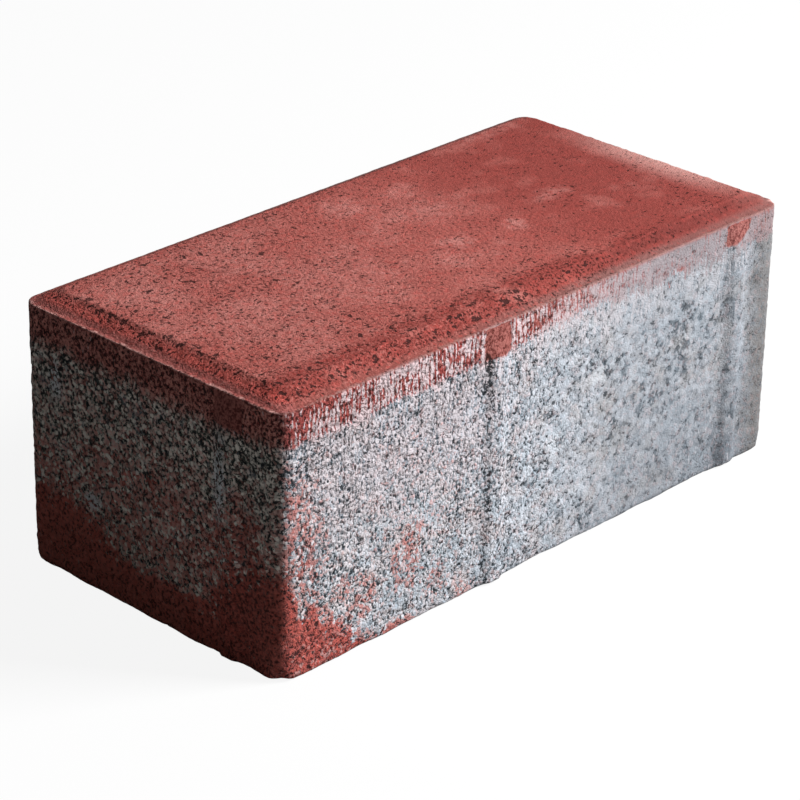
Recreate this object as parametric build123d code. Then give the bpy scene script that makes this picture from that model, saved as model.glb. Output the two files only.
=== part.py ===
from build123d import *
import os

# Rectangular concrete block paver, pressed in one mould.
# Millimetres, +Z up, bed face on z = 0, origin at the middle of the footprint, +X along the length.

# Body
body_length = 198.0
body_width = 98.0
height = 80.0
corner_radius = 5.0

# Bevel round the wearing face, with its upper edge eased
bevel_width = 7.0
bevel_depth = 4.0
crest_corner_radius = 4.0
crest_rounding = 2.5

# Spacer nibs, which keep the joint open between laid stones
nib_proud = 1.0
nib_base_width = 10.0
nib_crown_width = 3.2
nib_crown_radius = 7.0
nib_slope_height = 8.5
nib_root = 2.0

# Places of the nibs, measured from the middle of each face
long_nib_pitch = 100.0
long_nib_offset = 30.0
end_nib_offset = 30.0

# The arris is where the bevel meets the upright sides, the crest where it meets the top
arris_height = height - bevel_depth
crest_length = body_length - 2 * bevel_width
crest_width = body_width - 2 * bevel_width


def pressed_block():
    """Upright sides with rounded corners, and the bevelled top that the press head forms."""
    footprint = RectangleRounded(body_length, body_width, corner_radius)
    top_outline = RectangleRounded(crest_length, crest_width, crest_corner_radius)
    arris = Plane.XY.offset(arris_height) * footprint
    crest = Plane.XY.offset(height) * top_outline
    bevelled_top = loft([arris.face(), crest.face()], ruled=True)
    block = extrude(footprint, arris_height) + bevelled_top
    wearing_face = block.faces().sort_by(Axis.Z)[-1]
    return fillet(wearing_face.edges(), crest_rounding)


def nib():
    """One vertical rib on the plane x = 0, proud towards +X, rooted in the body behind it.

    In plan it has long sloped flanks and a rounded crown.
    From the side it stands upright and then slopes back to the arris.
    """
    plan_outline = Polyline(
        (-nib_root, -nib_base_width / 2),
        (0, -nib_base_width / 2),
        (nib_proud, -nib_crown_width / 2),
        (nib_proud, nib_crown_width / 2),
        (0, nib_base_width / 2),
        (-nib_root, nib_base_width / 2),
        close=True,
    )
    plan = make_face(plan_outline)
    plan = fillet(plan.vertices().group_by(Axis.X)[-1], nib_crown_radius)
    side_outline = Plane.XZ * Polyline(
        (-nib_root, 0),
        (nib_proud, 0),
        (nib_proud, arris_height - nib_slope_height),
        (0, arris_height),
        (-nib_root, arris_height),
        close=True,
    )
    rib = extrude(plan, arris_height)
    sloped_side = extrude(make_face(side_outline), nib_base_width / 2, both=True)
    return rib & sloped_side


def nib_places():
    """Two places on the front, one on the near end, and the same again after half a turn.

    The +X axis of each place points straight out of its face.
    """
    front_x = [long_nib_offset - long_nib_pitch / 2, long_nib_offset + long_nib_pitch / 2]
    front = [Location((x, -body_width / 2, 0), (0, 0, -90)) for x in front_x]
    near_end = [Location((-body_length / 2, -end_nib_offset, 0), (0, 0, 180))]
    seen_side = front + near_end
    half_turn = Location((0, 0, 0), (0, 0, 180))
    return seen_side + [half_turn * place for place in seen_side]


def paving_stone():
    """The whole stone as one solid."""
    stone = pressed_block()
    for place in nib_places():
        stone += place * nib()
    return stone


os.makedirs("parts", exist_ok=True)
export_step(paving_stone(), "parts/paving_stone.step")
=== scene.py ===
import math

import bpy
import numpy as np
from mathutils import Matrix, Vector


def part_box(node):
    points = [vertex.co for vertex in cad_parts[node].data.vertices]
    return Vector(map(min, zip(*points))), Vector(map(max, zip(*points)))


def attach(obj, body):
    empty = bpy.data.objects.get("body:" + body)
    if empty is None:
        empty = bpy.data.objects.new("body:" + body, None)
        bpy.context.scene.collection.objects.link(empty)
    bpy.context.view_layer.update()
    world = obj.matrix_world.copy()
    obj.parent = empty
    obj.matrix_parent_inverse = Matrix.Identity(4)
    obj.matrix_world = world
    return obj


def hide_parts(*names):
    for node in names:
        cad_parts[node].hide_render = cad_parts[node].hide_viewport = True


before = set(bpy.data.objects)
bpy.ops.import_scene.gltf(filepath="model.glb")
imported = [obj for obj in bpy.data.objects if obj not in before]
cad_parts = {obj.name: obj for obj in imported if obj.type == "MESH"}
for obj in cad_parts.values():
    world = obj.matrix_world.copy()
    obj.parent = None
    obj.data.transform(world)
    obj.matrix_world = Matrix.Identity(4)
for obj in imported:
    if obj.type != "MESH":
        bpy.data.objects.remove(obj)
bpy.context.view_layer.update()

# Lengths are millimetres in this script, and metres once they reach Blender
MM = 0.001

# Body, from the frame's box and the nibs that stand on it
low_corner, high_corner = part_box("paving_stone")
NIB_PROUD = 1.0
LENGTH = (high_corner.x - low_corner.x) / MM - 2 * NIB_PROUD
WIDTH = (high_corner.y - low_corner.y) / MM - 2 * NIB_PROUD
HEIGHT = (high_corner.z - low_corner.z) / MM
CORNER_RADIUS = 5.0
BEVEL_WIDTH = 7.0
BEVEL_DEPTH = 4.0
CREST_RADIUS = 4.0
ARRIS = HEIGHT - BEVEL_DEPTH

# Nibs: half widths, slope at the top, and places on the front and the near end
NIB_BASE = 5.0
NIB_CROWN = 1.6
NIB_SLOPE = 8.5
FRONT_NIBS = (-20.0, 80.0)
END_NIB = -30.0

# Mesh: cells along the sides and corners, rows up the side, and the cells that one bed cell spans
LONG_CELLS = 214
SHORT_CELLS = 98
CORNER_CELLS = 10
SIDE_ROWS = 84
BED_STEP = 4

# Camera, solved from the stone's straight edges in the photograph
CAMERA_PLACE = (-592.1, -555.9, 424.1)
CAMERA_AZIMUTH = 43.445
CAMERA_DOWN = 25.839
CAMERA_ROLL = 1.011
CAMERA_LENS = 145.4

# Studio, in metres: the soft box, how strongly the sky lights the stone, and the floor's half width
KEY_DIRECTION = (0.88, -0.95, 1.0)
KEY_DISTANCE = 1.3
KEY_SIZE = 0.5
KEY_LEVEL = 1.80
SKY_LEVEL = 0.07
FLOOR_REACH = 3.0


def srgb(red, green, blue):
    """A colour written as in a picture, 0 to 255, as the linear colour that a shader takes."""
    def linear(value):
        value /= 255
        return value / 12.92 if value <= 0.04045 else ((value + 0.055) / 1.055) ** 2.4
    return (linear(red), linear(green), linear(blue), 1.0)


# The solid mesh: rings round the stone from the bed to the crest, then a grid on each cap

def outline(inset, radius):
    """One ring round the stone: its points and their outward normals.

    It starts at the middle of the corner at -X, -Y and runs anticlockwise.
    """
    half = (LENGTH / 2 - inset, WIDTH / 2 - inset)
    points, normals = [], []
    cells = (LONG_CELLS, SHORT_CELLS, LONG_CELLS, SHORT_CELLS)
    for side in range(4):
        reach, depth = (half[0], half[1]) if side % 2 == 0 else (half[1], half[0])
        turn = side * math.pi / 2
        arc = CORNER_CELLS // 2
        local = []
        for step in range(arc):
            angle = math.radians(225 + 45 * step / arc)
            local.append((-reach + radius + radius * math.cos(angle),
                          -depth + radius + radius * math.sin(angle), math.cos(angle), math.sin(angle)))
        for step in range(cells[side]):
            along = (step / cells[side] * 2 - 1) * (reach - radius)
            local.append((along, -depth, 0.0, -1.0))
        for step in range(arc):
            angle = math.radians(270 + 45 * step / arc)
            local.append((reach - radius + radius * math.cos(angle),
                          -depth + radius + radius * math.sin(angle), math.cos(angle), math.sin(angle)))
        cos, sin = math.cos(turn), math.sin(turn)
        for x, y, nx, ny in local:
            points.append((x * cos - y * sin, x * sin + y * cos))
            normals.append((nx * cos - ny * sin, nx * sin + ny * cos))
    return np.array(points), np.array(normals)


def waves(place, seed, lengths, total):
    """A smooth closed wave along the ring, about -1 to 1, made of a few sines with fixed phases."""
    phases = np.random.default_rng(seed).uniform(0, 2 * math.pi, len(lengths))
    height = np.zeros_like(place)
    for length, phase in zip(lengths, phases):
        turns = max(1, round(total / length))
        height += np.sin(2 * math.pi * turns * place / total + phase)
    return height / math.sqrt(len(lengths))


def nib_height(points, z):
    """How far the nibs stand proud at points of a ring, and where their sloped tops and flanks are."""
    x, y = points[:, 0], points[:, 1]
    proud = np.zeros(len(points))
    slope = np.zeros(len(points))
    flanks = np.zeros(len(points))
    rise = np.clip((ARRIS - z) / NIB_SLOPE, 0, 1)
    for sign in (1, -1):
        places = [(sign * y < -WIDTH / 2 + 0.01, sign * x, near) for near in FRONT_NIBS]
        places.append((sign * x < -LENGTH / 2 + 0.01, sign * y, END_NIB))
        for on_face, along, near in places:
            across = along - near
            flank = np.clip((NIB_BASE - np.abs(across)) / (NIB_BASE - NIB_CROWN), 0, 1) * on_face
            wander = 0.7 * math.sin(z / 4.3 + near) + 0.4 * math.sin(z / 1.7 + 2 * near)
            spread = 1.25 + 0.65 * math.sin(z / 5.5 + 3 * near)
            foot = np.clip(1.4 - np.abs(np.abs(across + wander) - 3.6) / spread, 0, 1)
            # The flank mask is full on the flank away from the key light and weaker on the other; it carries
            # painted shade
            flanks = np.maximum(flanks, foot * on_face * rise * np.where(across < 0, 1.0, 0.35))
            flank = flank * flank * (3 - 2 * flank)
            proud = np.maximum(proud, flank * rise * NIB_PROUD)
            slope = np.maximum(slope, on_face * np.clip((NIB_BASE - np.abs(across)) / 1.2 + 0.5, 0, 1))
    slope = slope * np.clip((z - ARRIS + NIB_SLOPE) / 1.6 + 0.5, 0, 1)
    return proud, slope, flanks


def shell_rows():
    """The stone's profile from the bed to the crest, as (inset, height, corner radius, wall)."""
    worn_top = 0.95
    rows = [(1.3, 0.0, CORNER_RADIUS, 1.0), (0.45, 0.25, CORNER_RADIUS, 1.0),
            (0.0, worn_top, CORNER_RADIUS, 1.0)]
    top = ARRIS - 0.7
    for row in range(1, SIDE_ROWS + 1):
        rows.append((0.0, worn_top + (top - worn_top) * row / SIDE_ROWS, CORNER_RADIUS, 1.0))
    # The bead along the arris, with a small ledge
    slope = BEVEL_DEPTH / BEVEL_WIDTH
    rows += [(0.0, ARRIS - 0.15, CORNER_RADIUS, 0.8), (0.05, ARRIS + 0.36, CORNER_RADIUS, 0.4),
             (0.35, ARRIS + 0.62, CORNER_RADIUS, 0.1), (1.15, ARRIS + 0.68, CORNER_RADIUS, 0.0)]
    # The bevel, then its eased upper edge
    for inset in (1.35, 2.2, 3.1, 4.0, 4.9, 5.8, 6.6):
        radius = CORNER_RADIUS + (CREST_RADIUS - CORNER_RADIUS) * inset / BEVEL_WIDTH
        rows.append((inset, ARRIS + slope * inset, radius, 0.0))
    rows += [(6.9, HEIGHT - 0.09, CREST_RADIUS, 0.0), (7.2, HEIGHT - 0.01, CREST_RADIUS, 0.0),
             (7.6, HEIGHT, CREST_RADIUS, 0.0), (8.4, HEIGHT, CREST_RADIUS, 0.0)]
    return rows


def ring_faces(start_low, start_high, count):
    """Quads between two rings, facing outwards."""
    index = np.arange(count)
    after = (index + 1) % count
    return np.stack([start_low + index, start_low + after, start_high + after, start_high + index], 1)


def grid_boundary(columns, rows):
    """Indices of a grid's edge vertices, anticlockwise from its first corner."""
    width = columns + 1
    bottom = list(range(columns))
    right = [columns + j * width for j in range(rows)]
    top = [rows * width + columns - i for i in range(columns)]
    left = [(rows - j) * width for j in range(rows)]
    return np.array(bottom + right + top + left)


def cap_grid(columns, rows, half_x, half_y, z):
    """Vertices and quads of a flat grid, facing up."""
    xs = np.linspace(-half_x, half_x, columns + 1)
    ys = np.linspace(-half_y, half_y, rows + 1)
    grid_x, grid_y = np.meshgrid(xs, ys)
    vertices = np.stack([grid_x.ravel(), grid_y.ravel(), np.full(grid_x.size, z)], 1)
    index = np.arange((columns + 1) * (rows + 1)).reshape(rows + 1, columns + 1)
    quads = np.stack([index[:-1, :-1], index[:-1, 1:], index[1:, 1:], index[1:, :-1]], -1).reshape(-1, 4)
    return vertices, quads


def stone_mesh():
    """The closed mesh, with its rest place and what each part of the surface is, as attributes."""
    columns, lines = LONG_CELLS + CORNER_CELLS, SHORT_CELLS + CORNER_CELLS
    count = 2 * (columns + lines)
    perimeter = 2 * (LENGTH + WIDTH)
    place = np.arange(count) / count * perimeter
    corner_closeness = np.zeros(count)
    vertices, walls, nib_tops, nib_flanks = [], [], [], []

    def add_plain(points, wall):
        """Adds points that no nib touches."""
        vertices.append(points)
        walls.append(np.full(len(points), wall))
        nib_tops.append(np.zeros(len(points)))
        nib_flanks.append(np.zeros(len(points)))

    bed_wave = waves(place, 11, (97, 61, 38, 23, 14), perimeter)
    lip_wave = waves(place, 12, (40, 17, 9, 5.5, 3.7), perimeter)
    face_wave = waves(place, 13, (150, 90, 55), perimeter)
    for inset, z, radius, wall in shell_rows():
        points, normals = outline(inset, radius)
        worn = np.where(normals[:, 1] > 0.7, 0.3, 1.0)
        if not corner_closeness.any():
            corner_closeness = 1 - np.abs(np.abs(normals[:, 0]) - np.abs(normals[:, 1]))
        proud, slope, flanks = nib_height(points, z)
        near_bed = math.exp(-z / 1.6)
        near_lip = math.exp(-((z - ARRIS - 0.35) / 0.45) ** 2)
        push = proud + 0.12 * face_wave * wall
        push = push - near_bed * (0.35 + 0.30 * bed_wave + 1.1 * corner_closeness)
        push = push + near_lip * 0.13 * lip_wave * worn
        # A nib runs straight down to the bed, where the rest of the edge is worn round
        push = push + np.minimum(proud / NIB_PROUD, 1.0) * near_bed * (0.3 + inset * 0.6)
        points = points + normals * push[:, None]
        heights = np.full(count, z) + near_lip * (0.08 + 0.10 * lip_wave * worn)
        heights = heights + near_bed * (z > 0) * 0.35 * corner_closeness
        vertices.append(np.column_stack([points, np.maximum(heights, 0.0)]))
        walls.append(np.full(count, wall))
        nib_tops.append(slope * (wall > 0.5))
        nib_flanks.append(flanks)
    faces = []
    ring_count = len(vertices)
    for ring in range(ring_count - 1):
        faces.append(ring_faces(ring * count, (ring + 1) * count, count))

    # Top cap: two rings blend the rounded crest into a rectangular grid
    margin = BEVEL_WIDTH + 3.6
    top_points, top_quads = cap_grid(columns, lines, LENGTH / 2 - margin, WIDTH / 2 - margin, HEIGHT)
    edge = grid_boundary(columns, lines)
    last_ring = vertices[-1]
    for share in (0.33, 0.67):
        add_plain(last_ring * (1 - share) + top_points[edge] * share, 0.0)
        faces.append(ring_faces((len(vertices) - 2) * count, (len(vertices) - 1) * count, count))
    top_start = len(vertices) * count
    below = np.arange(count) + top_start - count
    above = edge + top_start
    after = np.roll(np.arange(count), -1)
    faces.append(np.stack([below, below[after], above[after], above], 1))
    faces.append(top_quads + top_start)
    add_plain(top_points, 0.0)

    # Bed cap: a coarse grid, joined to the first ring by fans
    bed_columns, bed_lines = columns // BED_STEP, lines // BED_STEP
    margin = 4.5
    bed_points, bed_quads = cap_grid(bed_columns, bed_lines, LENGTH / 2 - margin, WIDTH / 2 - margin, 0.0)
    bed_start = top_start + len(top_points)
    bed_edge = grid_boundary(bed_columns, bed_lines) + bed_start
    triangles = []
    for cell in range(len(bed_edge)):
        fine = [(cell * BED_STEP + step) % count for step in range(BED_STEP + 1)]
        here, there = bed_edge[cell], bed_edge[(cell + 1) % len(bed_edge)]
        middle = BED_STEP // 2
        for step in range(middle):
            triangles.append((fine[step + 1], fine[step], here))
        triangles.append((fine[middle], here, there))
        for step in range(middle, BED_STEP):
            triangles.append((fine[step + 1], fine[step], there))
    add_plain(bed_points, 1.0)
    faces.append(bed_quads[:, ::-1] + bed_start)

    points = np.concatenate(vertices)
    polygons = [tuple(quad) for quad in np.concatenate(faces).tolist()] + triangles
    mesh = bpy.data.meshes.new("paver")
    mesh.from_pydata((points * MM).tolist(), [], polygons)
    mesh.update()
    for name, values in (("wall", walls), ("nib_top", nib_tops), ("nib_flank", nib_flanks)):
        values = np.concatenate(values)
        layer = mesh.attributes.new(name, "FLOAT", "POINT")
        layer.data.foreach_set("value", values.astype(np.float32))
    layer = mesh.attributes.new("rest", "FLOAT_VECTOR", "POINT")
    layer.data.foreach_set("vector", points.astype(np.float32).ravel())
    return mesh


# Node graphs: one way of writing arithmetic as nodes, for the mesh's shape and for its colour

class Graph:
    """Writes arithmetic as nodes, in a material or in geometry nodes."""

    def __init__(self, tree, geometry=False):
        self.tree = tree
        self.geometry = geometry

    def node(self, kind, **settings):
        made = self.tree.nodes.new(kind)
        for name, value in settings.items():
            setattr(made, name, value)
        return made

    def plug(self, socket, value):
        if hasattr(value, "node"):
            self.tree.links.new(value, socket)
        else:
            socket.default_value = value

    def attribute(self, name, vector=False):
        if self.geometry:
            kind = "FLOAT_VECTOR" if vector else "FLOAT"
            made = self.node("GeometryNodeInputNamedAttribute", data_type=kind)
            made.inputs["Name"].default_value = name
            return next(s for s in made.outputs if s.enabled and s.name == "Attribute")
        made = self.node("ShaderNodeAttribute", attribute_name=name)
        return made.outputs["Vector" if vector else "Fac"]

    def math(self, operation, *values):
        made = self.node("ShaderNodeMath", operation=operation)
        for socket, value in zip(made.inputs, values):
            self.plug(socket, value)
        return made.outputs[0]

    def add(self, *values):
        total = values[0]
        for value in values[1:]:
            total = self.math("ADD", total, value)
        return total

    def mul(self, *values):
        total = values[0]
        for value in values[1:]:
            total = self.math("MULTIPLY", total, value)
        return total

    def sub(self, first, second):
        return self.math("SUBTRACT", first, second)

    def largest(self, *values):
        total = values[0]
        for value in values[1:]:
            total = self.math("MAXIMUM", total, value)
        return total

    def ramp(self, value, start, end, low=0.0, high=1.0):
        """low below start and high above end, smooth in between."""
        made = self.node("ShaderNodeMapRange", interpolation_type="SMOOTHSTEP")
        for name, entry in (("Value", value), ("From Min", start), ("From Max", end),
                            ("To Min", low), ("To Max", high)):
            self.plug(made.inputs[name], entry)
        return made.outputs["Result"]

    def vector(self, operation, first, second):
        made = self.node("ShaderNodeVectorMath", operation=operation)
        self.plug(made.inputs[0], first)
        self.plug(made.inputs[1], second)
        return made.outputs["Vector"]

    def absolute(self, value):
        made = self.node("ShaderNodeVectorMath", operation="ABSOLUTE")
        self.plug(made.inputs[0], value)
        return made.outputs["Vector"]

    def length(self, value):
        made = self.node("ShaderNodeVectorMath", operation="LENGTH")
        self.plug(made.inputs[0], value)
        return made.outputs["Value"]

    def part(self, value):
        made = self.node("ShaderNodeSeparateXYZ")
        self.plug(made.inputs[0], value)
        return made.outputs["X"], made.outputs["Y"], made.outputs["Z"]

    def noise(self, place, size, detail=2.0, roughness=0.5, stretch=(1, 1, 1), offset=(0, 0, 0)):
        """Cloudy noise, about 0.25 to 0.75, with features size across in the unit of place."""
        scaled = self.vector("MULTIPLY", place, tuple(1 / (size * s) for s in stretch))
        made = self.node("ShaderNodeTexNoise")
        self.plug(made.inputs["Vector"], self.vector("ADD", scaled, offset))
        made.inputs["Scale"].default_value = 1.0
        made.inputs["Detail"].default_value = detail
        made.inputs["Roughness"].default_value = roughness
        return made.outputs[0]

    def cells(self, place, size, offset=(0, 0, 0)):
        """Rounded grains: the distance from each one's middle, and three random tones for each."""
        made = self.node("ShaderNodeTexVoronoi")
        scaled = self.vector("MULTIPLY", place, (1 / size,) * 3)
        self.plug(made.inputs["Vector"], self.vector("ADD", scaled, offset))
        made.inputs["Scale"].default_value = 1.0
        return made.outputs["Distance"], made.outputs["Color"]

    def mix(self, share, first, second):
        made = self.node("ShaderNodeMix", data_type="RGBA")
        self.plug(made.inputs["Factor"], share)
        colours = [s for s in made.inputs if s.type == "RGBA"]
        self.plug(colours[0], first)
        self.plug(colours[1], second)
        return next(s for s in made.outputs if s.type == "RGBA")


def warp(g, place, size, amount, offset=(0, 0, 0)):
    """place pushed about by noise, so that what is drawn on it has ragged edges."""
    scaled = g.vector("MULTIPLY", place, (1 / size,) * 3)
    made = g.node("ShaderNodeTexNoise")
    g.plug(made.inputs["Vector"], g.vector("ADD", scaled, offset))
    made.inputs["Scale"].default_value = 1.0
    made.inputs["Detail"].default_value = 1.0
    colour = made.outputs["Color"]
    centred = g.vector("SUBTRACT", colour, (0.5, 0.5, 0.5))
    return g.vector("ADD", place, g.vector("MULTIPLY", centred, (amount,) * 3))


def drag_zone(g, place):
    """Where the mould wall scraped the upper sides: strong at the arris, gone about 22 mm below it."""
    ragged = g.noise(place, 5.0, 2, 0.6, (1, 1, 2.5), (7, 3, 1))
    edge = g.add(g.part(place)[2], g.mul(g.sub(ragged, 0.5), 24))
    return g.ramp(edge, ARRIS - 22, ARRIS - 8)


def top_openness(g, place):
    """The share of the wearing face's grains that are missing: more towards the near end and the edges."""
    x, y, z = g.part(place)
    cloud = g.noise(place, 14, 2, 0.55, (1, 1, 1), (5, 5, 5))
    near_end = g.ramp(x, 20, -85)
    edges = g.largest(g.mul(g.ramp(y, -31, -38), g.ramp(x, 70, 35, 0.5, 1.2)), g.ramp(y, 36, 41, 0.0, 0.3))
    crest = g.mul(g.ramp(z, ARRIS + 1.2, ARRIS + 2.6), g.ramp(z, HEIGHT - 0.02, HEIGHT - 0.15))
    foot = g.mul(g.ramp(z, ARRIS + 2.2, ARRIS + 0.9), g.ramp(x, -50, 0, -0.8, -0.3))
    return g.add(g.ramp(x, 0, 55, 0.38, 0.12), g.mul(near_end, 0.34), g.mul(edges, 0.30),
                 g.mul(g.sub(cloud, 0.5), 1.2), g.mul(crest, g.ramp(x, -50, 45, 1.15, 0.0)), foot)


def relief(g, place, wall, nib_top):
    """Height of the surface over its plain form, in millimetres, at a scale that the mesh can hold."""
    grain = g.sub(g.noise(place, 2.2, 1, 0.6, (1, 1, 1), (3, 1, 4)), 0.5)
    lumps = g.sub(g.noise(place, 8.0, 1, 0.5, (1, 1, 1), (9, 2, 6)), 0.5)
    hollows = g.ramp(g.noise(place, 3.2, 1, 0.6, (1, 1, 1), (2, 2, 7)), 0.40, 0.28)
    y, z = g.part(place)[1:]
    below_arris = g.ramp(z, ARRIS - 0.3, ARRIS - 4, 0.25, 1.0)
    side = g.add(g.mul(grain, 0.7), g.mul(lumps, 0.3), g.mul(hollows, -0.35))
    side = g.mul(side, g.ramp(nib_top, 0.0, 1.0, 1.0, 0.4), below_arris)
    top_grain = g.sub(g.noise(place, 2.0, 1, 0.6, (1, 1, 1), (6, 6, 2)), 0.5)
    crest = g.ramp(g.math("ABSOLUTE", g.sub(z, HEIGHT - 0.6)), 1.5, 0.6, 0.18, 0.45)
    flat = g.mul(g.ramp(z, HEIGHT - 0.01, HEIGHT - 0.1), g.ramp(y, 10, 38, 1.0, 0.3))
    top = g.add(g.mul(top_grain, g.add(0.18, g.mul(crest, flat))), g.mul(lumps, 0.16))
    top = g.add(g.mul(top, g.ramp(y, 30, 42, 1.0, 0.3)), -0.03)
    return g.add(g.mul(side, wall), g.mul(top, g.sub(1.0, wall)), -0.05)


def shape_relief(piece):
    """Moves the mesh's points by relief, with geometry nodes, and keeps the result as plain mesh."""
    tree = bpy.data.node_groups.new("relief", "GeometryNodeTree")
    tree.interface.new_socket("Geometry", in_out="INPUT", socket_type="NodeSocketGeometry")
    tree.interface.new_socket("Geometry", in_out="OUTPUT", socket_type="NodeSocketGeometry")
    g = Graph(tree, geometry=True)
    height = relief(g, g.attribute("rest", True), g.attribute("wall"), g.attribute("nib_top"))
    # The bed face is where the stone stands, so it stays nearly flat
    bed = g.ramp(g.part(g.attribute("rest", True))[2], 0.02, 0.6)
    height = g.mul(height, bed, MM)
    normal = g.node("GeometryNodeInputNormal").outputs[0]
    scale = g.node("ShaderNodeVectorMath", operation="SCALE")
    g.plug(scale.inputs[0], normal)
    g.plug(scale.inputs["Scale"], height)
    move = g.node("GeometryNodeSetPosition")
    g.plug(move.inputs["Geometry"], g.node("NodeGroupInput").outputs[0])
    g.plug(move.inputs["Offset"], scale.outputs[0])
    g.plug(g.node("NodeGroupOutput").inputs[0], move.outputs["Geometry"])
    modifier = piece.modifiers.new("relief", "NODES")
    modifier.node_group = tree
    graph = bpy.context.evaluated_depsgraph_get()
    shaped = bpy.data.meshes.new_from_object(piece.evaluated_get(graph))
    piece.modifiers.clear()
    piece.data = shaped


# Material

# Colours of the mixes and of what lies on them
BRICK_RED = srgb(174, 92, 84)
DEEP_RED = srgb(151, 65, 58)
BRIGHT_RED = srgb(196, 78, 70)
# A darker red, which also serves as painted shade on the long bevels and crests
DARK_RED_AND_SHADE = srgb(118, 46, 41)
DUSTY_PINK = srgb(194, 124, 116)
LIME_PINK = srgb(222, 172, 164)
SMEAR_RED = srgb(200, 86, 72)
CEMENT_LIGHT = srgb(215, 220, 229)
# A dark cement for the darkest grains, which also serves as painted shade on the body
DARK_CEMENT_AND_SHADE = srgb(107, 112, 119)
LIME_WHITE = srgb(234, 239, 244)
VOID_RED = srgb(50, 20, 18)
VOID_GREY = srgb(26, 32, 38)

# Wedges of red on the lower body, straight-sided: middle, reach along each axis, strength
WEDGES = (
    ((-99, -49, 0), (37, 14, 30), 1.3),
    ((99, 49, 0), (44, 30, 18), 1.3),
)
# Rounded smears of red: middle, reach along each axis, strength
SMEARS = (
    ((-99, -49, 36), (20, 8, 30), 0.55),
    ((-53, -49, 21), (7, 6, 14), 0.50),
    ((-78, -49, 20), (6, 6, 5), 0.47),
    ((-70, -49, 14), (6, 6, 9), 0.50),
    ((-42, -49, 10), (6, 6, 7), 0.42),
    ((-60, -49, 1), (12, 6, 4), 0.66),
    ((-31, -49, 2), (6, 6, 4), 0.44),
    ((-48, -49, 38), (30, 6, 26), 0.21),
    ((-99, 38, 4), (9, 38, 26), 1.15),
    ((-99, 44, 18), (9, 30, 32), 0.62),
    ((-99, -34, 24), (9, 18, 36), 0.70),
    ((-99, 0, 0), (9, 64, 17), 1.25),
    ((-99, -42, 4), (9, 26, 34), 1.15),
    ((-99, 0, 20), (9, 66, 42), 0.59),
    ((-99, 14, 50), (9, 54, 30), 0.38),
    ((99, -10, 3), (9, 40, 14), 0.9),
    ((99, 20, 30), (9, 40, 34), 0.45),
    ((30, 49, 0), (34, 8, 9), 0.9),
    ((-46, 49, 14), (12, 8, 14), 0.62),
)
# Pale spots on the body: middle, reach along each axis, strength
PALE_SPOTS = (
    ((-99, -27, 52), (4, 3, 14), 0.95),
    ((-99, 22, 27), (4, 4, 3), 0.8),
    ((-99, 36, 58), (4, 3, 7), 0.8),
    ((-16, -49, 38), (3, 4, 12), 0.2),
    ((22, -49, 48), (4, 4, 3), 0.3),
    ((59, -49, 45), (5, 4, 4), 0.14),
    ((4, -49, 33), (5, 4, 4), 0.2),
    ((66, -49, 58), (5, 4, 3), 0.12),
)
# Darker, more open patches of the body: middle, reach along each axis, strength
OPEN_PATCHES = (
    ((89, -49, 56), (4, 5, 4), 0.26),
    ((63, -49, 45), (9, 5, 8), 0.10),
    ((78, -49, 6), (5, 5, 6), 0.16),
    ((20, -49, 5), (6, 5, 5), 0.12),
    ((-78, -49, 26), (4, 5, 4), 0.14),
    ((92, -49, 34), (5, 5, 7), 0.10),
)
# Pale lime on the wearing face: middle, reach along X and Y, strength
LIME_PATCHES = (
    ((1, 28), (9, 8), 0.8),
    ((4, 14), (7, 6), 0.6),
    ((22, 27), (9, 4), 0.6),
    ((18, 12), (8, 4), 0.55),
    ((6, -9), (6, 5), 1.0),
    ((-3, -16), (5, 8), 0.6),
    ((28, -12), (5, 4), 0.85),
    ((50, -4), (9, 4), 0.6),
    ((-10, -31), (9, 6), 0.35),
    ((-64, -1), (14, 9), 0.4),
    ((-79, 20), (12, 14), 0.45),
    ((72, 43), (26, 7), 0.6),
)


def lime_share(g, place, ragged):
    """How much pale lime lies on the wearing face, 0 to 1, in soft patches with broken edges."""
    total = None
    for (x, y), (reach_x, reach_y), strength in LIME_PATCHES:
        offset = g.vector("DIVIDE", g.vector("SUBTRACT", ragged, (x, y, HEIGHT)), (reach_x, reach_y, 9))
        one = g.ramp(g.length(offset), 0.2, 1.25, strength, 0.0)
        total = one if total is None else g.largest(total, one)
    return g.mul(total, g.ramp(g.noise(place, 2.6, 2, 0.6, (1, 1, 1), (9, 9, 4)), 0.38, 0.60, 0.35, 1.0))


def red_share(g, ragged):
    """How much red paste from stripping the mould lies on the body, 0 to 1, with soft edges."""
    total = None
    for middle, reach, strength in WEDGES:
        offset = g.vector("DIVIDE", g.vector("SUBTRACT", ragged, middle), reach)
        x, y, z = g.part(g.absolute(offset))
        one = g.ramp(g.add(x, y, z), 0.55, 1.30, strength, 0.0)
        total = one if total is None else g.largest(total, one)
    for middle, reach, strength in SMEARS:
        offset = g.vector("DIVIDE", g.vector("SUBTRACT", ragged, middle), reach)
        total = g.largest(total, g.ramp(g.length(offset), 0.45, 1.30, strength, 0.0))
    return total


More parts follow.
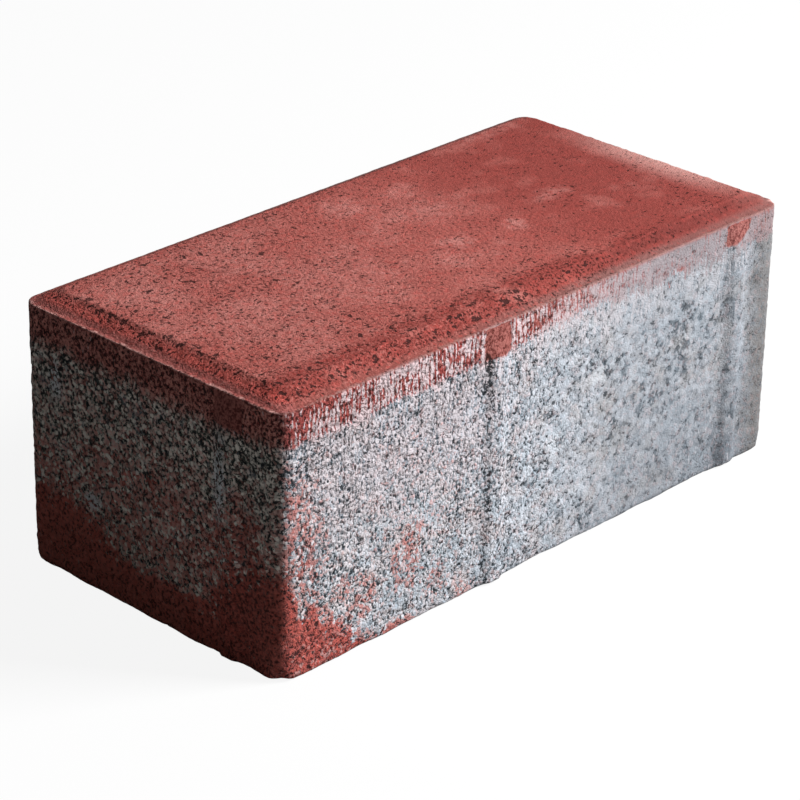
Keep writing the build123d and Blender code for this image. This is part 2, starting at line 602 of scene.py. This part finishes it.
def facing_colour(g, place, ragged, tone, fine):
    """The red wearing layer: brick-red sand and cement, paler where lime has bloomed, with painted shade on
    the long bevels and crests and a partly painted highlight along the far end.
    """
    x, y, z = g.part(place)
    cloud = g.noise(place, 24, 3, 0.6, (1, 1, 1), (4, 9, 2))
    bloom = g.ramp(g.add(cloud, g.ramp(x, 50, -50, -0.06, 0.04)), 0.44, 0.62)
    flecks = g.ramp(g.noise(place, 3.2, 3, 0.62, (1, 1, 1), (3, 3, 8)), 0.48, 0.66)
    colour = g.mix(g.mul(bloom, g.add(0.30, g.mul(flecks, 0.5))), BRICK_RED, DUSTY_PINK)
    edges = g.largest(g.ramp(y, -33, -39), g.ramp(y, 34, 41, 0.0, 0.35), g.ramp(x, 0, 50, 0, 0.9))
    strong = g.mul(edges, g.ramp(g.noise(place, 11, 2, 0.5, (1, 1, 1), (1, 2, 9)), 0.28, 0.50),
                   g.ramp(z, ARRIS - 1, ARRIS + 0.5, 0.55, 0.9))
    colour = g.mix(strong, colour, DEEP_RED)
    # Bevels: the long ones darker red, which is painted shade where they face the key light, with dust at
    # their foot and more painted shade along the far crest; the end ones with dust on them
    on_bevel = g.ramp(z, HEIGHT - 0.01, HEIGHT - 0.5)
    long_bevel = g.mul(g.ramp(g.math("ABSOLUTE", y), 41.5, 43), g.ramp(z, ARRIS + 0.2, ARRIS + 0.6))
    colour = g.mix(g.mul(on_bevel, long_bevel, g.ramp(z, ARRIS + 0.8, ARRIS + 2.4, 0.34, 0.14)),
                   colour, DARK_RED_AND_SHADE)
    dust = g.mul(long_bevel, g.ramp(z, ARRIS + 2.2, ARRIS + 0.9))
    colour = g.mix(g.mul(dust, 0.8), colour, g.mix(g.ramp(x, -60, 40), srgb(148, 80, 73), srgb(130, 95, 91)))
    far_crest_shade = g.mul(on_bevel, long_bevel, g.ramp(z, ARRIS + 1.0, ARRIS + 2.6), g.ramp(x, 0, 50, 0.0, 0.60))
    colour = g.mix(far_crest_shade, colour, srgb(90, 34, 30))
    end_bevel = g.mul(g.ramp(x, -91.5, -94), g.ramp(z, ARRIS + 3.9, ARRIS + 1.0, 0.25, 0.7))
    end_dust = g.mix(g.ramp(z, ARRIS + 2.4, ARRIS + 1.2), srgb(255, 110, 99), srgb(176, 99, 94))
    colour = g.mix(g.mul(on_bevel, end_bevel), colour, end_dust)
    # Painted shade along the long crests, stronger towards the far end
    crest_shade = g.mul(g.ramp(g.math("ABSOLUTE", y), 40.0, 41.2), g.ramp(z, HEIGHT - 0.9, HEIGHT - 0.3))
    colour = g.mix(g.mul(crest_shade, g.ramp(x, -20, 50, 0.0, 0.35)), colour, DARK_RED_AND_SHADE)
    # The wearing face turns to the darker red towards the far end
    colour = g.mix(g.ramp(x, 15, 75, 0.0, 0.34), colour, DARK_RED_AND_SHADE)
    # Pale lime bloom in patches, and a pale band along the far end that is partly bloom and partly a painted
    # highlight on the far bevel, which faces the key light
    far_end_bloom_and_highlight = g.mul(g.ramp(x, 80, 92), g.ramp(g.math("ABSOLUTE", g.add(y, 10)), 42, 6), 0.85)
    colour = g.mix(g.mul(lime_share(g, place, ragged), 0.75), colour, srgb(208, 138, 130))
    colour = g.mix(g.mul(far_end_bloom_and_highlight, 0.8), colour, srgb(216, 166, 158))
    colour = g.mix(g.ramp(tone, 0.80, 0.90, 0.0, g.ramp(x, 0, 50, 0.30, 0.14)), colour, BRIGHT_RED)
    pale_sand = g.mul(g.ramp(fine, 0.54, 0.66), g.ramp(x, 30, -40, 0.05, 0.30))
    colour = g.mix(pale_sand, colour, srgb(222, 150, 140))
    colour = g.mix(g.mul(g.ramp(fine, 0.50, 0.40), g.ramp(x, 10, 80, 0.22, 0.06)), colour, VOID_RED)
    return g.mix(g.ramp(tone, 0.25, 0.10, 0.0, 0.16), colour, VOID_RED)


def body_colour(g, place, level, tone, scraped, pale, slow):
    """Grey cement and sand, from open voids to pale grains, with a little warm and cool drift, a copy of the
    colours for the shaded end, and painted shade on the far half, along the second nib and at the far
    corner.
    """
    x, y, z = g.part(place)
    warm = g.mul(g.ramp(x, 0, -45), g.largest(scraped, g.ramp(z, 25, 58, 0.15, 0.75)))
    middle = g.mix(warm, srgb(188, 192, 200), srgb(190, 184, 193))
    light = g.mix(warm, CEMENT_LIGHT, srgb(227, 219, 225))
    middle = g.mix(g.mul(g.ramp(x, -10, -45), g.ramp(z, 50, 30)), middle, srgb(214, 214, 219))
    light = g.mix(g.ramp(x, -50, -90), light, srgb(246, 239, 243))
    # The near end lies in shade and gets its own copy of the cement colours: warmer, lighter in the middle
    # and pale grains, darker in the dark grains. This copy is painted light and shade for how light falls on
    # that end.
    on_end = g.ramp(x, -96, -98)
    middle = g.mix(on_end, middle, srgb(216, 210, 201))
    light = g.mix(on_end, light, srgb(246, 238, 228))
    dark = g.mix(on_end, srgb(92, 101, 109), srgb(78, 84, 78))
    colour = g.mix(g.ramp(level, 0.32, 0.45), dark, middle)
    colour = g.mix(g.ramp(level, 0.52, 0.66), colour, light)
    colour = g.mix(g.mul(pale, g.ramp(x, -40, 10, 0.25, 0.75)), colour, srgb(206, 212, 221))
    drifting = g.mul(g.sub(1.0, on_end), g.ramp(x, -50, 0, 0.50, 0.34))
    tinted = g.mul(g.ramp(slow, -0.02, 0.14), drifting)
    colour = g.mix(tinted, colour, g.mix(g.ramp(x, -30, 30), srgb(208, 188, 187), srgb(188, 178, 170)))
    cooled = g.mul(g.ramp(slow, 0.0, -0.13), drifting)
    colour = g.mix(cooled, colour, srgb(168, 184, 196))
    # Painted shade: the body darkens towards the far end and towards the bottom of its far half, along the
    # flank of the second nib that faces away from the key light, and at the far corner of the front face
    low = g.mul(g.ramp(z, 45, 10), g.ramp(x, -10, 50), 0.20)
    line = g.ramp(g.math("ABSOLUTE", g.sub(x, 76.5)), 4.5, 1.5)
    second_nib_shadow = g.mul(line, g.ramp(slow, 0.10, -0.10, 0.02, 0.22))
    shade = g.add(g.ramp(x, -15, 45, 0.0, 0.42), g.ramp(x, 66, 84, 0.0, 0.13), low, second_nib_shadow)
    colour = g.mix(shade, colour, DARK_CEMENT_AND_SHADE)
    far_corner_shade = g.mul(g.ramp(x, 84, 93), g.ramp(y, -40, -46))
    colour = g.mix(g.mul(far_corner_shade, 0.8), colour, srgb(118, 114, 112))
    salmon = g.mul(g.ramp(tone, 0.78, 0.90), g.ramp(x, -50, 20, 0.42, 0.10))
    colour = g.mix(salmon, colour, srgb(204, 150, 144))
    blue = g.mul(g.ramp(tone, 0.30, 0.20), g.sub(1.0, on_end), g.ramp(x, -50, 30, 0.42, 0.08))
    colour = g.mix(blue, colour, srgb(160, 180, 196))
    return g.mix(g.ramp(tone, 0.09, 0.05, 0.0, 0.55), colour, DARK_CEMENT_AND_SHADE)


def open_patches(g, place):
    """How much less full the body is in its darker patches, as a change of level."""
    total = 0.0
    for middle, reach, strength in OPEN_PATCHES:
        offset = g.vector("DIVIDE", g.vector("SUBTRACT", place, middle), reach)
        total = g.add(total, g.ramp(g.length(offset), 0.2, 1.3, -strength, 0.0))
    return total


def pale_spots(g, place, level, colour):
    """colour with the body's pale spots laid over its higher grains."""
    for middle, reach, strength in PALE_SPOTS:
        offset = g.vector("DIVIDE", g.vector("SUBTRACT", place, middle), reach)
        spot = g.mul(g.ramp(g.length(offset), 1.2, 0.4), g.ramp(level, 0.38, 0.52))
        colour = g.mix(g.mul(spot, strength), colour, LIME_WHITE)
    return colour


def stone_material():
    """Pressed concrete: the red facing, the grey body, and what stripping the mould left."""
    material = bpy.data.materials.new("pressed_concrete")
    material.use_nodes = True
    tree = material.node_tree
    tree.nodes.clear()
    g = Graph(tree)
    place = g.attribute("rest", True)
    wall = g.attribute("wall")
    top = g.sub(1.0, wall)
    x, y, z = g.part(place)
    on_end = g.ramp(g.math("ABSOLUTE", x), LENGTH / 2 - 3, LENGTH / 2 - 1)

    # Sand grains of both mixes
    grain, tones = g.cells(place, 1.0, (5, 5, 5))
    tone, coated, odd = g.part(tones)
    fine = g.noise(place, 0.85, 3, 0.66, (1, 1, 1.1), (7, 7, 7))
    broken = g.add(g.mul(g.sub(fine, 0.5), 1.0), g.mul(g.sub(coated, 0.5), 0.4))

    # Nibs: their sloped tops, and their flanks, with painted shade mostly on the flank that faces away from
    # the key light
    plain = g.attribute("nib_top")
    nib_top = g.mul(g.ramp(g.add(plain, broken), 0.30, 0.60), g.ramp(plain, 0.0, 0.2))
    cut = g.add(g.ramp(x, 30, 70, 0.0, 2.6), g.mul(g.ramp(x, 78, 86, 0.0, 3.4), g.ramp(y, -40, -46)))
    nib_top = g.mul(nib_top, g.ramp(g.sub(z, cut), ARRIS - 9.4, ARRIS - 8.2))
    plain = g.attribute("nib_flank")
    wander = g.mul(g.sub(g.noise(place, 4, 2, 0.6, (1, 1, 1.5), (3, 3, 3)), 0.5), 1.5)
    nib_flank = g.mul(g.ramp(g.add(plain, wander), 0.25, 0.95), g.ramp(plain, 0.0, 0.25),
                      g.ramp(x, -20, 80, 1.0, 0.7))
    ragged_place = warp(g, place, 6, 8, (1, 1, 1))
    red = facing_colour(g, place, ragged_place, tone, fine)

    # Body: how full the surface is, from voids to grains, calmer towards the far end
    patches = g.sub(g.noise(place, 9, 3, 0.55, (1, 1, 1), (2, 6, 1)), 0.5)
    scraped = drag_zone(g, place)
    open_strip = g.mul(g.ramp(z, ARRIS - 22, ARRIS - 12), g.ramp(x, 20, -60))
    shaded_end = g.mul(on_end, g.ramp(x, 1, -1))
    texture = g.add(g.mul(g.sub(0.52, grain), 0.26), g.mul(g.sub(fine, 0.5), 0.9),
                    g.mul(g.sub(tone, 0.5), 0.30))
    near_corner = g.mul(g.ramp(x, -50, -90), g.sub(1.0, shaded_end))
    # Stronger grain contrast on the shaded end stands in for the light and shade of its relief there:
    # painted light and shade
    contrast = g.add(g.ramp(x, -45, 45, 1.1, 0.24), g.mul(near_corner, 0.4), g.mul(open_strip, 0.2),
                     g.mul(shaded_end, 0.3))
    texture = g.mul(texture, contrast)
    coarse = g.sub(g.noise(place, 2.4, 3, 0.6, (1, 1, 1), (4, 4, 9)), 0.5)
    stone, kinds = g.cells(place, 5.0, (2, 7, 3))
    pale_kind, dark_kind = g.part(kinds)[:2]
    stone = g.ramp(g.add(stone, g.mul(coarse, -0.9), g.mul(g.sub(fine, 0.5), 0.4)), 0.50, 0.32)
    pale = g.mul(stone, g.ramp(pale_kind, 0.55, 0.75))
    dark_stone = g.mul(stone, g.ramp(dark_kind, 0.60, 0.85), -0.10)
    coarse = g.mul(coarse, g.ramp(x, -30, 40, 0.40, 1.22), g.sub(1.0, g.mul(shaded_end, 0.5)))
    plain_level = g.add(texture, g.mul(patches, g.ramp(x, -60, 40, 0.30, 0.60)), 0.52)
    open_near = g.mul(g.ramp(z, 25, 48), g.ramp(x, 0, -40), -0.05)
    open_near = g.add(open_near, g.mul(g.ramp(z, 56, 62), g.ramp(x, -58, -78), -0.06))
    below_nib = g.mul(g.ramp(g.math("ABSOLUTE", g.add(x, 20)), 6.5, 4.0), g.ramp(z, 55, 63), -0.07)
    # The level drops a little on the nib flanks: painted shade
    level = g.add(plain_level, coarse, dark_stone, open_near, below_nib, g.mul(nib_flank, -0.03),
                  open_patches(g, place), g.mul(near_corner, 0.05))
    slow = g.sub(g.noise(place, 10, 3, 0.6, (1, 1, 1), (5, 1, 1)), 0.5)
    body = body_colour(g, place, level, odd, scraped, pale, slow)

    # Red paste over the body, grain by grain at its edges
    paste = red_share(g, ragged_place)
    stain = g.sub(g.noise(place, 3.0, 2, 0.6, (1, 1, 1), (8, 8, 3)), 0.5)
    grainy = g.add(g.mul(g.sub(coated, 0.5), 0.5), g.mul(g.sub(fine, 0.5), 1.2), g.mul(stain, 0.7))
    cloudy = g.add(g.mul(stain, 0.8), g.mul(g.sub(coated, 0.5), 0.7), g.mul(g.sub(fine, 0.5), 1.6))
    scatter = g.add(g.mul(grainy, g.sub(1.0, shaded_end)), g.mul(cloudy, shaded_end))
    smeared = g.ramp(g.add(paste, scatter), g.sub(0.42, g.mul(shaded_end, 0.14)),
                     g.add(0.62, g.mul(shaded_end, 0.14)))
    paste_tone = g.mix(g.ramp(fine, 0.40, 0.60), DEEP_RED, SMEAR_RED)
    paste_tone = g.mix(g.ramp(g.add(paste, g.mul(odd, 0.3)), 0.95, 0.50, 0.0, 0.50), paste_tone, LIME_PINK)
    flecks = g.add(g.mul(odd, 0.5), g.mul(fine, 0.5))
    flecks = g.mul(g.ramp(flecks, 0.62, 0.70), g.ramp(z, 16, 3, 0.05, 0.45), g.sub(1.0, shaded_end))
    paste_tone = g.mix(flecks, paste_tone, srgb(208, 186, 184))
    # On the shaded end the paste is painted lighter low down and away from the near corner, and darker
    # towards the near corner: a painted gradient of light across the end
    lower_end_light = g.mul(shaded_end, g.ramp(z, 40, 15), g.ramp(y, -38, -5))
    paste_tone = g.mix(g.mul(lower_end_light, 0.5), paste_tone, srgb(214, 122, 108))
    paste_tone = g.mix(g.mul(shaded_end, g.ramp(y, -18, -38), 0.3), paste_tone, srgb(104, 60, 52))
    cover = g.sub(g.ramp(paste, 0.3, 0.8, 0.70, 0.95), g.mul(shaded_end, g.ramp(paste, 0.9, 0.4), 0.15))
    smeared = g.mul(smeared, g.ramp(paste, 0.02, 0.20))
    body = pale_spots(g, place, level, g.mix(g.mul(smeared, cover), body, paste_tone))

    # Facing layer on the sides, ragged at its lower edge
    marks = g.noise(place, 0.8, 2, 0.6, (1, 1, 4.0), (6, 2, 3))
    ragged = g.add(g.mul(slow, g.ramp(x, 0, 60, 8, 14)),
                   g.mul(g.sub(marks, 0.5), g.ramp(x, -40, 40, 6, 16)), g.mul(g.sub(fine, 0.5), 5))
    soft = g.mul(shaded_end, 2.4)
    lower_edge = g.add(z, ragged, g.ramp(x, -14, 5, 0.0, -2.2), g.ramp(x, 25, 45, 0.0, 1.2))
    layer = g.ramp(lower_edge, g.sub(ARRIS - 9.9, soft), g.add(soft, ARRIS - 8.5))
    bare = g.mul(g.ramp(g.math("ABSOLUTE", g.sub(x, 53)), 7, 2), g.ramp(z, 71.5, 69.5))
    bare = g.mul(bare, g.ramp(g.add(marks, slow), 0.30, 0.60))
    layer = g.mul(layer, g.largest(g.ramp(x, -10, 50, 1.0, 0.62), bare))
    band = g.mix(g.ramp(coated, 0.60, 0.1, 0.05, 0.45), red, srgb(112, 22, 26))
    band = g.mix(g.ramp(coated, 0.8, 0.95, 0.0, 0.25), band, LIME_PINK)
    band = g.mix(g.ramp(x, -30, 60, 0.0, 0.15), band, LIME_PINK)
    band = g.mix(g.mul(g.ramp(x, 0, -40, 0.0, 0.25), g.sub(1.0, shaded_end)), band, srgb(186, 66, 66))
    # On the shaded end, darker and paler grains in the layer stand in for the light and shade of its relief:
    # painted light and shade
    band = g.mix(g.mul(shaded_end, g.ramp(fine, 0.50, 0.40), 0.40), band, VOID_RED)
    band = g.mix(g.mul(shaded_end, g.ramp(fine, 0.47, 0.58), 0.85), band, srgb(232, 158, 146))
    nib_tone = g.mix(g.ramp(fine, 0.40, 0.60), srgb(118, 54, 48), srgb(170, 104, 97))
    side_tone = g.mix(g.mul(nib_top, 0.9), g.mix(layer, body, band), nib_tone)

    # Pale drag marks on the high grains, across the layer and the body below it
    dragged = g.largest(scraped, g.mul(g.ramp(z, 12, 46), g.ramp(x, 10, -40), 0.95))
    bias = g.add(g.ramp(x, -90, 80, 0.02, 0.06), g.mul(on_end, g.ramp(x, -1, 1, -0.20, -0.02)),
                 g.ramp(x, -86, -97, 0.02, -0.14),
                 g.mul(g.ramp(x, 0, 50), g.ramp(z, ARRIS - 8, ARRIS - 3), 0.07))
    drift = g.mul(g.noise(place, 7, 1, 0.5, (1, 1, 2), (2, 9, 4)), 14)
    comb = g.math("SINE", g.add(g.mul(g.add(x, y), 4.4), drift))
    comb_depth = g.add(g.ramp(x, -20, -60, 0.05, 0.07), g.mul(layer, g.ramp(x, 20, -30, 0.0, 0.025)))
    on_layer = g.mul(layer, g.add(g.mul(slow, g.ramp(x, -30, 40, 1.1, 0.5)), -0.03))
    marked = g.add(marks, g.mul(comb, comb_depth), g.mul(g.sub(0.52, grain), 0.14),
                   g.mul(g.sub(fine, 0.5), 0.40), g.mul(g.sub(dragged, 1.0), 0.26), bias, on_layer)
    far_edge = g.mul(g.ramp(x, 80, 90), g.ramp(y, -40, -46), g.sub(1.0, layer), 0.85)
    marked = g.mul(g.ramp(marked, 0.42, 0.60), g.sub(1.0, nib_top), g.sub(1.0, g.mul(smeared, 0.8)),
                   g.sub(1.0, far_edge), g.sub(1.0, g.mul(bare, 0.9)))
    lime = g.mix(layer, g.mix(g.ramp(x, -30, 60), srgb(218, 209, 214), srgb(184, 184, 190)),
                 g.mix(g.ramp(x, -30, 60), srgb(234, 217, 221), srgb(131, 121, 125)))
    side_tone = g.mix(g.mul(marked, 0.85), side_tone, lime)
    colour = g.mix(wall, red, side_tone)

    # The thin edge of the bead: pale at the ends, dull along the sides. The pale line is partly the lip's
    # own colour and partly a painted highlight where the lip catches the light.
    bead = g.mul(g.ramp(z, ARRIS + 0.25, ARRIS + 0.4), g.ramp(z, ARRIS + 0.62, ARRIS + 0.72, 1.0, 0.0))
    bead = g.mul(bead, g.ramp(fine, 0.38, 0.56, 0.2, 1.0), g.ramp(on_end, 0.0, 1.0, 0.6, 1.0))
    colour = g.mix(bead, colour, g.mix(on_end, srgb(158, 118, 110), srgb(222, 166, 158)))

    # Voids
    hollow = g.add(g.noise(place, 2.3, 2, 0.6, (1, 1, 1), (4, 8, 5)), g.mul(fine, 0.3))
    # The gaps at the near corner stay off the red wedge there
    clear = g.ramp(g.add(z, g.mul(g.add(x, 99), 0.8)), 22, 36)
    share = g.add(g.ramp(x, -30, 40, 0.72, 0.20), g.mul(open_strip, 0.35), g.mul(patches, -0.9),
                  g.mul(near_corner, clear, 0.2))
    pit = g.ramp(fine, 0.455, 0.385)
    pocket = g.sub(g.add(fine, g.mul(coarse, 0.3)), g.mul(near_corner, clear, 0.015))
    side_void = g.mul(g.ramp(g.sub(tone, share), 0.05, -0.05), g.ramp(pocket, 0.45, 0.40), wall)
    top_share = top_openness(g, place)
    single = g.mul(g.ramp(g.sub(tone, top_share), 0.05, -0.05), pit, g.ramp(grain, 0.66, 0.50))
    torn = g.ramp(g.sub(hollow, g.ramp(top_share, 0.7, 1.6, 0.0, 0.05)), 0.53, 0.47)
    hollow = g.ramp(hollow, 0.53, 0.47)
    top_void = g.mul(g.largest(single, g.mul(torn, g.ramp(top_share, 0.35, 0.75))), top)
    redness = g.largest(top, layer, g.mul(smeared, 0.8))
    calm = g.sub(1.0, g.mul(nib_top, 0.7))
    near_open = g.largest(g.ramp(z, 45, 22, 0.65, 1.0), open_strip, g.ramp(x, -80, -90))
    low_near = g.mul(g.ramp(x, -15, -55), near_open, wall)
    side_void = g.mul(g.largest(side_void, g.mul(hollow, low_near)), calm)
    gaps = g.add(g.mul(fine, 1.4), g.mul(coarse, 0.6), g.mul(patches, 0.8))
    core = g.mul(g.ramp(nib_flank, 0.75, 1.0), g.ramp(gaps, 0.76, 0.66))
    # Painted shade along the nib flanks, broken up with pits, and weaker on the shaded end
    flank_shade_and_pits = g.largest(g.mul(nib_flank, g.ramp(fine, 0.48, 0.41), 0.22), core)
    flank_shade_and_pits = g.mul(flank_shade_and_pits, g.sub(1.0, g.mul(shaded_end, 0.8)))
    seen_void = g.mul(side_void, g.sub(1.0, g.mul(marked, 0.5)), g.ramp(x, -20, 50, 1.0, 0.5),
                      g.sub(1.0, g.mul(smeared, shaded_end, 0.25)))
    seen_void = g.largest(seen_void, top_void, flank_shade_and_pits)
    colour = g.mix(g.mul(seen_void, 0.9), colour, g.mix(redness, VOID_GREY, VOID_RED))

    # Fine relief, in millimetres
    sand = g.sub(g.noise(place, 0.45, 1, 0.6, (1, 1, 1), (3, 5, 7)), 0.5)
    void = g.largest(side_void, top_void)
    body_height = g.mul(g.ramp(plain_level, 0.25, 0.75), wall, calm, g.ramp(x, -40, 30, 0.46, 0.25))
    smooth_foot = g.ramp(z, ARRIS + 0.9, ARRIS + 2.2, g.ramp(x, -60, -10, 0.7, 0.9), 1.0)
    top_height = g.mul(g.add(g.mul(fine, 0.55), g.mul(g.sub(0.52, grain), 0.10)), top, smooth_foot,
                       g.ramp(x, 0, 70, 1.0, 0.45))
    height = g.add(g.mul(sand, 0.20), body_height, top_height, g.mul(void, -0.30))
    bump = g.node("ShaderNodeBump")
    bump.inputs["Strength"].default_value = 1.0
    bump.inputs["Distance"].default_value = MM
    g.plug(bump.inputs["Height"], height)

    shader = g.node("ShaderNodeBsdfPrincipled")
    g.plug(shader.inputs["Base Color"], colour)
    g.plug(shader.inputs["Roughness"], g.add(0.86, g.mul(sand, 0.2)))
    shader.inputs["Specular IOR Level"].default_value = 0.25
    g.plug(shader.inputs["Normal"], bump.outputs["Normal"])
    g.plug(g.node("ShaderNodeOutputMaterial").inputs["Surface"], shader.outputs["BSDF"])
    return material


def build_stone():
    piece = bpy.data.objects.new("pressed_stone", stone_mesh())
    bpy.context.scene.collection.objects.link(piece)
    shape_relief(piece)
    piece.data.shade_smooth()
    piece.data.materials.append(stone_material())
    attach(piece, "root")
    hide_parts("paving_stone")


# Studio

def stage_material():
    """Pale floor. What the camera sees of it is nearly white, and the stone's shadow stays."""
    material = bpy.data.materials.new("pale_floor")
    material.use_nodes = True
    tree = material.node_tree
    tree.nodes.clear()
    g = Graph(tree)
    seen = g.node("ShaderNodeLightPath").outputs["Is Camera Ray"]
    place = g.node("ShaderNodeNewGeometry").outputs["Position"]
    mottle = g.noise(place, 0.4, 2, 0.5)
    floor_grey = g.mix(mottle, (0.24, 0.24, 0.24, 1), (0.28, 0.28, 0.28, 1))
    diffuse = g.node("ShaderNodeBsdfDiffuse")
    g.plug(diffuse.inputs["Color"], g.mix(seen, floor_grey, (0.9, 0.9, 0.9, 1)))
    glow = g.node("ShaderNodeEmission")
    glow.inputs["Strength"].default_value = 1.0
    blend = g.node("ShaderNodeMixShader")
    g.plug(blend.inputs[0], g.mul(seen, 0.9))
    g.plug(blend.inputs[1], diffuse.outputs[0])
    g.plug(blend.inputs[2], glow.outputs[0])
    g.plug(g.node("ShaderNodeOutputMaterial").inputs["Surface"], blend.outputs[0])
    return material


def build_floor():
    reach = FLOOR_REACH
    mesh = bpy.data.meshes.new("floor")
    corners = [(-reach, -reach, 0), (reach, -reach, 0), (reach, reach, 0), (-reach, reach, 0)]
    mesh.from_pydata(corners, [], [(0, 1, 2, 3)])
    mesh.materials.append(stage_material())
    floor = bpy.data.objects.new("floor", mesh)
    bpy.context.scene.collection.objects.link(floor)


def build_world():
    world = bpy.data.worlds.new("studio")
    bpy.context.scene.world = world
    world.use_nodes = True
    tree = world.node_tree
    tree.nodes.clear()
    g = Graph(tree)
    seen = g.node("ShaderNodeLightPath").outputs["Is Camera Ray"]
    background = g.node("ShaderNodeBackground")
    g.plug(background.inputs["Color"], (1, 1, 1, 1))
    g.plug(background.inputs["Strength"], g.ramp(seen, 0.0, 1.0, SKY_LEVEL, 1.0))
    g.plug(g.node("ShaderNodeOutputWorld").inputs["Surface"], background.outputs[0])


def area_light(name, direction, distance, size, level):
    """A square soft box. level 1 lights a surface that faces it just to its own colour."""
    light = bpy.data.lights.new(name, "AREA")
    light.shape = "SQUARE"
    light.size = size
    light.energy = level * math.pi ** 2 * distance ** 2
    lamp = bpy.data.objects.new(name, light)
    toward = Vector(direction).normalized()
    lamp.location = toward * distance + Vector((0, 0, 0.04))
    lamp.rotation_euler = toward.to_track_quat("Z", "Y").to_euler()
    bpy.context.scene.collection.objects.link(lamp)


def build_lights():
    area_light("key", KEY_DIRECTION, KEY_DISTANCE, KEY_SIZE, KEY_LEVEL)


def build_camera():
    azimuth, down, roll = (math.radians(a) for a in (CAMERA_AZIMUTH, CAMERA_DOWN, CAMERA_ROLL))
    forward = Vector((math.cos(down) * math.cos(azimuth), math.cos(down) * math.sin(azimuth),
                      -math.sin(down)))
    right = forward.cross(Vector((0, 0, 1))).normalized()
    up = right.cross(forward)
    rolled_right = right * math.cos(roll) + up * math.sin(roll)
    rolled_up = up * math.cos(roll) - right * math.sin(roll)
    turn = Matrix((rolled_right, rolled_up, -forward)).transposed()
    data = bpy.data.cameras.new("camera")
    data.sensor_width = 36.0
    data.lens = CAMERA_LENS
    data.clip_start = 0.05
    data.clip_end = 20.0
    camera = bpy.data.objects.new("camera", data)
    camera.matrix_world = Matrix.Translation(Vector(CAMERA_PLACE) * MM) @ turn.to_4x4()
    bpy.context.scene.collection.objects.link(camera)
    bpy.context.scene.camera = camera


build_camera()
build_stone()
build_floor()
build_world()
build_lights()
bpy.context.scene.view_settings.view_transform = "Standard"
